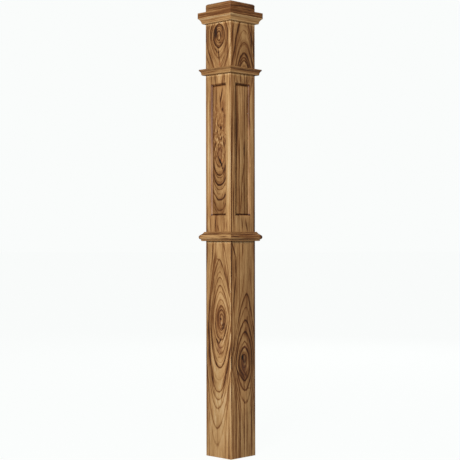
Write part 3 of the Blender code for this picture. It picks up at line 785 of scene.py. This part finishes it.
BACK_PANEL_MARKS = ((-6, 1148, 5, 8, 0.45), (10, 900, 3, 80, 0.34, 0.05))
LEFT_PANEL_KNOTS = (
    (34, 900, 50, -0.05, 220, 100, 2.0, (
        (22, 2.4, 0.4, 0.4), (36, 2.4, 0.45, 0.4), (52, 2.4, 0.4, 0.3),
    )),
)
LEFT_PANEL_MARKS = ((-14, 1120, 3.4, 90, 0.4, 0.03),)
PANEL_FIGURES = {
    "front": {
        "seed": 31.7,
        "tone": 0.07,
        "knots": FRONT_PANEL_KNOTS,
        "marks": FRONT_PANEL_MARKS,
        "stains": FRONT_PANEL_STAINS,
        "flecks": ((0, 1050, 60, 80, 2.2), (0, 1130, 60, 90, 1)),
        "calm": ((0, 1050, 60, 80, 0.9),),
    },
    "right": {"seed": 38.3, "tone": 0.03, "marks": RIGHT_PANEL_MARKS},
    "back": {"seed": 44.9, "tone": 0.02, "knots": BACK_PANEL_KNOTS, "marks": BACK_PANEL_MARKS},
    "left": {"seed": 52.4, "tone": 0.04, "knots": LEFT_PANEL_KNOTS, "marks": LEFT_PANEL_MARKS},
}

dress_four("panel", "panel", panel_mesh, PANEL_FIGURES)


# Base moulding: four lengths with a foot bead, a round nose, a slope to a groove, and a top
# bead, let into the boards just above the plain shaft and mitred at the corners. Run on a
# spindle moulder, so its section is crisp; its grooves are darkened a little with painted shade.
ARC_STEPS = 14
BASE_MOULDING_OUT = 0.0175
FOOT_BEAD_OUT = 0.0118
FOOT_BEAD_RADIUS = 0.0029
NOSE_RADIUS = 0.0093
NOSE_CENTRE_UP = 0.0131
GROOVE_UP = 0.0238
GROOVE_OUT = 0.0096
GROOVE_DEPTH = 0.0011
TOP_BEAD_BOW = 0.0006
TOP_FILLET_OUT = 0.005
TOP_FILLET_HEIGHT = 0.0026
ARRIS_RADIUS = 0.00035
BLUNT = math.radians(150)  # a corner blunter than this stays as it is
STICK_STEP = 0.61  # each length is cut from another part of the stick, this much further on


def arc(centre, radius, start, end):
    """Points on an arc from start to end, in degrees, both ends included."""
    points = []
    for step in range(ARC_STEPS + 1):
        angle = math.radians(start + (end - start) * step / ARC_STEPS)
        points.append((centre[0] + radius * math.cos(angle), centre[1] + radius * math.sin(angle)))
    return points


def bowed(start, end, bow):
    """Points on a shallow curve from start to end, bowed to the left of the way there."""
    across = end[0] - start[0]
    up = end[1] - start[1]
    chord = math.hypot(across, up)
    points = []
    for step in range(ARC_STEPS + 1):
        along = step / ARC_STEPS
        aside = bow * 4 * along * (1 - along)
        out = start[0] + across * along - up / chord * aside
        points.append((out, start[1] + up * along + across / chord * aside))
    return points


def eased_section(points, radius):
    """The section with each sharp corner rounded by about the radius."""
    eased = []
    for index, point in enumerate(points):
        corner = Vector(point)
        before = Vector(points[index - 1]) - corner
        after = Vector(points[(index + 1) % len(points)]) - corner
        if before.length < 0.00001 or before.angle(after) > BLUNT:
            eased.append(point)
            continue
        start = corner + before.normalized() * min(radius, before.length * 0.45)
        end = corner + after.normalized() * min(radius, after.length * 0.45)
        for step in range(4):
            along = step / 3
            bent = start.lerp(corner, along).lerp(corner.lerp(end, along), along)
            eased.append((bent.x, bent.y))
    return eased


def mitred_ring_tree():
    """Sweeps a section along one face, mitres its ends, and repeats it round the shaft."""
    tree = bpy.data.node_groups.new("mitred_ring", "GeometryNodeTree")
    tree.interface.new_socket("Geometry", in_out="OUTPUT", socket_type="NodeSocketGeometry")
    tree.interface.new_socket("Geometry", in_out="INPUT", socket_type="NodeSocketGeometry")
    for socket in ("Half Shaft", "Foot Height", "Joint Gap", "Stick Step"):
        tree.interface.new_socket(socket, in_out="INPUT", socket_type="NodeSocketFloat")
    tree.interface.new_socket("Wood", in_out="INPUT", socket_type="NodeSocketMaterial")
    given = tree.nodes.new("NodeGroupInput").outputs
    add = partial(put, tree)

    def stored(geometry, name, value, data_type="FLOAT_VECTOR", domain="POINT"):
        """The geometry with the value kept on it under a name."""
        values = {"Geometry": geometry, "Name": name, "Value": value}
        kind = "GeometryNodeStoreNamedAttribute"
        return add(kind, values, data_type=data_type, domain=domain)

    def kept(name, data_type="FLOAT_VECTOR"):
        """A value that was kept under a name."""
        return add("GeometryNodeInputNamedAttribute", {"Name": name}, data_type=data_type)

    section = add("GeometryNodeMeshToCurve", {"Mesh": given["Geometry"]})
    section = stored(section, "section", add("GeometryNodeInputPosition"))
    run = add("GeometryNodeCurvePrimitiveLine", {"Start": (0, 0, 0), "End": (0, 0, 1)})
    run = stored(run, "share", add("GeometryNodeSplineParameter", output="Factor"), "FLOAT")
    values = {"Curve": run, "Profile Curve": section, "Fill Caps": True}
    swept = add("GeometryNodeCurveToMesh", values)
    out = add("ShaderNodeSeparateXYZ", (kept("section"),), "X")
    rise = add("ShaderNodeSeparateXYZ", (kept("section"),), "Z")
    side = add("ShaderNodeMapRange", (kept("share", "FLOAT"), 0.0, 1.0, -1.0, 1.0))
    front = add("ADD", (out, given["Half Shaft"]))
    half_run = add("MULTIPLY_ADD", (given["Joint Gap"], -0.5, front))
    along = add("MULTIPLY", (side, half_run))
    back = add("MULTIPLY", (front, -1.0))
    height = add("ADD", (rise, given["Foot Height"]))
    seat = add("ShaderNodeCombineXYZ", (along, back, height))
    swept = add("GeometryNodeSetPosition", {"Geometry": swept, "Position": seat})
    swept = stored(swept, "grain", add("ShaderNodeCombineXYZ", (rise, out, along)))
    corners = add("GeometryNodeMeshLine", {"Count": 4, "Offset": (0, 0, 0)})
    number = add("GeometryNodeInputIndex")
    quarter = add("MULTIPLY", (number, math.pi / 2))
    turn = add("ShaderNodeCombineXYZ", {2: quarter})
    values = {"Points": corners, "Instance": swept, "Rotation": turn}
    ring = add("GeometryNodeInstanceOnPoints", values)
    ring = stored(ring, "length_number", number, "FLOAT", "INSTANCE")
    ring = add("GeometryNodeRealizeInstances", {"Geometry": ring})
    further = add("MULTIPLY", (kept("length_number", "FLOAT"), given["Stick Step"]))
    further = add("ShaderNodeCombineXYZ", {2: further})
    grain = add("ShaderNodeVectorMath", (kept("grain"), further), operation="ADD")
    ring = stored(ring, "grain", grain)
    ring = add("GeometryNodeSetMaterial", {"Geometry": ring, "Material": given["Wood"]})
    add("NodeGroupOutput", {"Geometry": ring})
    return tree


MITRED_RING = mitred_ring_tree()


def mitred_ring(kind, points, wood):
    """Four mitred lengths of one section, as one piece that stands for the four CAD lengths."""
    section_mesh = bpy.data.meshes.new(f"{kind}_section")
    closed = [(index, (index + 1) % len(points)) for index in range(len(points))]
    section_mesh.from_pydata([(out, 0, up) for out, up in points], closed, [])
    section = placed(f"{kind}_section", section_mesh)
    sweep = section.modifiers.new("mitred_ring", "NODES")
    sweep.node_group = MITRED_RING
    values = {
        "Half Shaft": HALF_SHAFT,
        "Foot Height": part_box(f"{kind}_front")[0].z,
        "Joint Gap": JOINT_GAP,
        "Stick Step": STICK_STEP,
        "Wood": wood,
    }
    for item in MITRED_RING.interface.items_tree:
        if item.in_out == "INPUT" and item.name in values:
            sweep[item.identifier] = values[item.name]
    mesh = evaluated_mesh(section)
    shape = bmesh.new()
    shape.from_mesh(mesh)
    bmesh.ops.recalc_face_normals(shape, faces=shape.faces)
    shape.to_mesh(mesh)
    shape.free()
    dressed(f"{kind}_ring", mesh, wood, 0, kind, *[f"{kind}_{facing}" for facing in FACINGS])


def stick_place(tree):
    """The point in a length of moulding in millimetres: up, out, and along the stick."""
    grain = put(tree, "ShaderNodeAttribute", output="Vector", attribute_name="grain")
    return put(tree, "ShaderNodeVectorMath", {0: grain, "Scale": 1000.0}, operation="SCALE")


base_low, base_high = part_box("base_moulding_front")
base_tall = base_high.z - base_low.z
moulding_back = -HALF_SHAFT - base_high.y
foot_bead = arc((FOOT_BEAD_OUT - FOOT_BEAD_RADIUS, FOOT_BEAD_RADIUS), FOOT_BEAD_RADIUS, -90, 40)
nose = arc((BASE_MOULDING_OUT - NOSE_RADIUS, NOSE_CENTRE_UP), NOSE_RADIUS, -44, 56)
groove = [(GROOVE_OUT, GROOVE_UP), (GROOVE_OUT - GROOVE_DEPTH, GROOVE_UP)]
top_bead = bowed(groove[-1], (TOP_FILLET_OUT, base_tall - TOP_FILLET_HEIGHT), -TOP_BEAD_BOW)
base_section = [(moulding_back, 0.0), *foot_bead, *nose, *groove, *top_bead[1:]]
base_section += [(TOP_FILLET_OUT, base_tall), (moulding_back, base_tall)]
# Marks on a moulding are in millimetres up its section and along the stick, from the middle of
# the front length; the right-hand length's middle lies at 610
BASE_MOULDING_MARKS = (
    # painted shade along the section's grooves
    (6, 0, 1.4, 5000, 0.45), (23.6, 0, 1.6, 5000, 0.45), (28.8, 0, 1.2, 5000, 0.3),
    # grain lines and patches, and painted shade at the far end of the front length
    (16, -25, 5, 50, -0.16), (14.5, 40, 1.8, 32, 0.55, 0.05), (9, 50, 5, 30, 0.22),
    (26, -10, 3, 50, 0.25, 0.03), (10, -10, 1.8, 60, 0.3, -0.03), (16, -84, 24, 20, 0.45),
    # the length on the right face, with painted shade at its far end
    (16, 694, 30, 24, 0.75), (21, 612, 2.2, 60, 0.35, 0.04), (9, 620, 5, 60, 0.25),
    (16, 556, 3, 26, 0.35, -0.15),
)
base_wood = newel_wood(
    "satin_lacquered_hardwood_base_moulding", stick_place, seed=61.5, marks=BASE_MOULDING_MARKS,
    ring_width=5.0, wander=5.0,
)
mitred_ring("base_moulding", eased_section(base_section, ARRIS_RADIUS), base_wood)


# Neck moulding: a small crown with a bead at its foot, a hollow and a narrow fascia, mitred
# round the shaft under the plain neck where a handrail lands. Same wood and finish.
BEAD_FILLET = 0.0008


def crown_section(kind, out, fascia, fascia_return, bead_out, bead_radius, cove_bow):
    """Front of a crown's section, from its foot up: a bead, a cove, and a fascia; its height
    is that of the CAD lengths."""
    low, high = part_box(f"{kind}_front")
    tall = high.z - low.z
    bead = arc((bead_out - bead_radius, bead_radius), bead_radius, -90, 0)
    cove_foot = (bead_out, bead_radius + BEAD_FILLET)
    cove = bowed(cove_foot, (out - fascia_return, tall - fascia), cove_bow)
    return [(moulding_back, 0.0), *bead, *cove, (out, tall - fascia), (out, tall)]


neck_section = crown_section(
    "neck_moulding", out=0.0165, fascia=0.0048, fascia_return=0.001,
    bead_out=0.0107, bead_radius=0.0041, cove_bow=0.0011,
)
neck_section.append((moulding_back, neck_section[-1][1]))
NECK_MOULDING_MARKS = (
    # painted light on the bead, which faces down; a slightly darker hollow; grain lines; and painted
    # shade at the far ends of the front and right-hand lengths
    (2, 0, 5, 5000, -0.14), (12, 0, 6, 5000, 0.06), (17, 10, 1.6, 60, 0.25),
    (8, -20, 1.8, 50, 0.3, 0.04), (12, 612, 1.8, 60, 0.3, 0.02), (12, -82, 20, 15, 0.4),
    (12, 692, 20, 18, 0.7),
)
neck_wood = newel_wood(
    "satin_lacquered_hardwood_neck_moulding", stick_place, seed=70.2, marks=NECK_MOULDING_MARKS,
    ring_width=4.5, tone=0.17, wander=5.0,
)
mitred_ring("neck_moulding", eased_section(neck_section, ARRIS_RADIUS), neck_wood)


# Cap moulding: a taller crown of the same family round the top of the shaft, its broad fascia
# standing out under the cap block, and its back stepped forward to hold the block.
BLOCK_LAP = 0.00794
BLOCK_CLEARANCE = 0.0003
STEP_FACE = 0.00005

cap_section = crown_section(
    "cap_moulding", out=0.01905, fascia=0.02, fascia_return=0.0016,
    bead_out=0.0099, bead_radius=0.0044, cove_bow=0.0009,
)
cap_tall = cap_section[-1][1]
step_up = cap_tall - BLOCK_LAP - BLOCK_CLEARANCE
cap_section += [(STEP_FACE, cap_tall), (STEP_FACE, step_up), (moulding_back, step_up)]
CAP_MOULDING_MARKS = (
    # painted light lifting the bead and the hollow, which face down, out of their shade; a darker
    # fascia with a line along it; grain lines; and painted shade at the far ends of the front and
    # right-hand lengths
    (3, 0, 8, 5000, -0.2), (14, 0, 9, 5000, -0.26), (29, 0, 11, 5000, 0.25), (23, 0, 3, 5000, 0.16),
    (26, 20, 1.8, 70, 0.3), (31, -30, 1.5, 50, 0.25), (20, -88, 24, 18, 0.4), (20, 698, 24, 18, 0.5),
    (10, -10, 1.8, 70, 0.22, 0.02), (12, 600, 1.8, 70, 0.22, -0.02), (22, 640, 1.8, 60, 0.3),
    (29, 600, 1.5, 60, 0.3),
)
crown_wood = newel_wood(
    "satin_lacquered_hardwood_cap_moulding", stick_place, seed=84.8, marks=CAP_MOULDING_MARKS,
    ring_width=5.5, tone=0.08, wander=5.0,
)
mitred_ring("cap_moulding", eased_section(cap_section, ARRIS_RADIUS), crown_wood)


# Cap block: one solid block with its grain from left to right, so its right and left faces are
# end grain, which soaks up the finish and reads darker. Its top edges are rounded over.
BLOCK_ROUNDOVER = 0.0072
BLOCK_EASING = 0.0012
LEAST_EASING = 0.0003
ROUNDOVER_STEPS = 10
HEART_HEIGHT = 1.0  # from the floor to the heart of the log that the block was sawn from

block_low, block_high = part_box("cap_block")
levels = [(0.0, block_low.z)]
for step in range(ROUNDOVER_STEPS + 1):
    angle = math.radians(90 * step / ROUNDOVER_STEPS)
    inset = BLOCK_ROUNDOVER * (1 - math.cos(angle))
    levels.append((inset, block_high.z - BLOCK_ROUNDOVER * (1 - math.sin(angle))))
block_shape = bmesh.new()
block_rings = []
for inset, z in levels:
    radius = max(BLOCK_EASING - inset, LEAST_EASING)
    corners = rounded_square(block_high.x - inset, radius, CORNER_STEPS)
    block_rings.append([block_shape.verts.new((x, y, z)) for x, y in corners])
for lower, upper in zip(block_rings, block_rings[1:]):
    for index in range(len(lower)):
        after = (index + 1) % len(lower)
        block_shape.faces.new((lower[index], lower[after], upper[after], upper[index]))
block_shape.faces.new(block_rings[-1])
block_shape.faces.new(block_rings[0][::-1])
bmesh.ops.recalc_face_normals(block_shape, faces=block_shape.faces)
block_mesh = mesh_of(block_shape, "cap_block")


def block_place(tree):
    """The point in the block in millimetres: distance from the log's heart, and along it."""
    world_point = put(tree, "ShaderNodeTexCoord", output="Object")
    shift = (0, -10, -1000 * HEART_HEIGHT)
    values = {"Vector": world_point, "Location": shift, "Scale": (1000, 1000, 1000)}
    centred = put(tree, "ShaderNodeMapping", values)
    flat = put(tree, "ShaderNodeVectorMath", (centred, (0, 1, 1)), operation="MULTIPLY")
    heart = put(tree, "ShaderNodeVectorMath", (flat,), "Value", operation="LENGTH")
    along, aside = (put(tree, "ShaderNodeSeparateXYZ", (centred,), axis) for axis in range(2))
    return put(tree, "ShaderNodeCombineXYZ", (heart, aside, along))


CAP_BLOCK_MARKS = (
    (510, 64, 400, 9, 0.16), (510, -64, 400, 9, 0.16), (500, 64, 5, 9, 0.45), (510, 62, 3, 9, 0.3),
    (513, -20, 2, 60, 0.26), (507, 20, 2, 60, 0.2),
)
block_wood = newel_wood(
    "satin_lacquered_hardwood_cap_block", block_place, seed=93.1, marks=CAP_BLOCK_MARKS,
    ring_width=6.0, tone=0.18, wander=3.0, contrast=0.7,
)
dressed("rounded_cap_block", block_mesh, block_wood, 0, "cap_block", "cap_block")
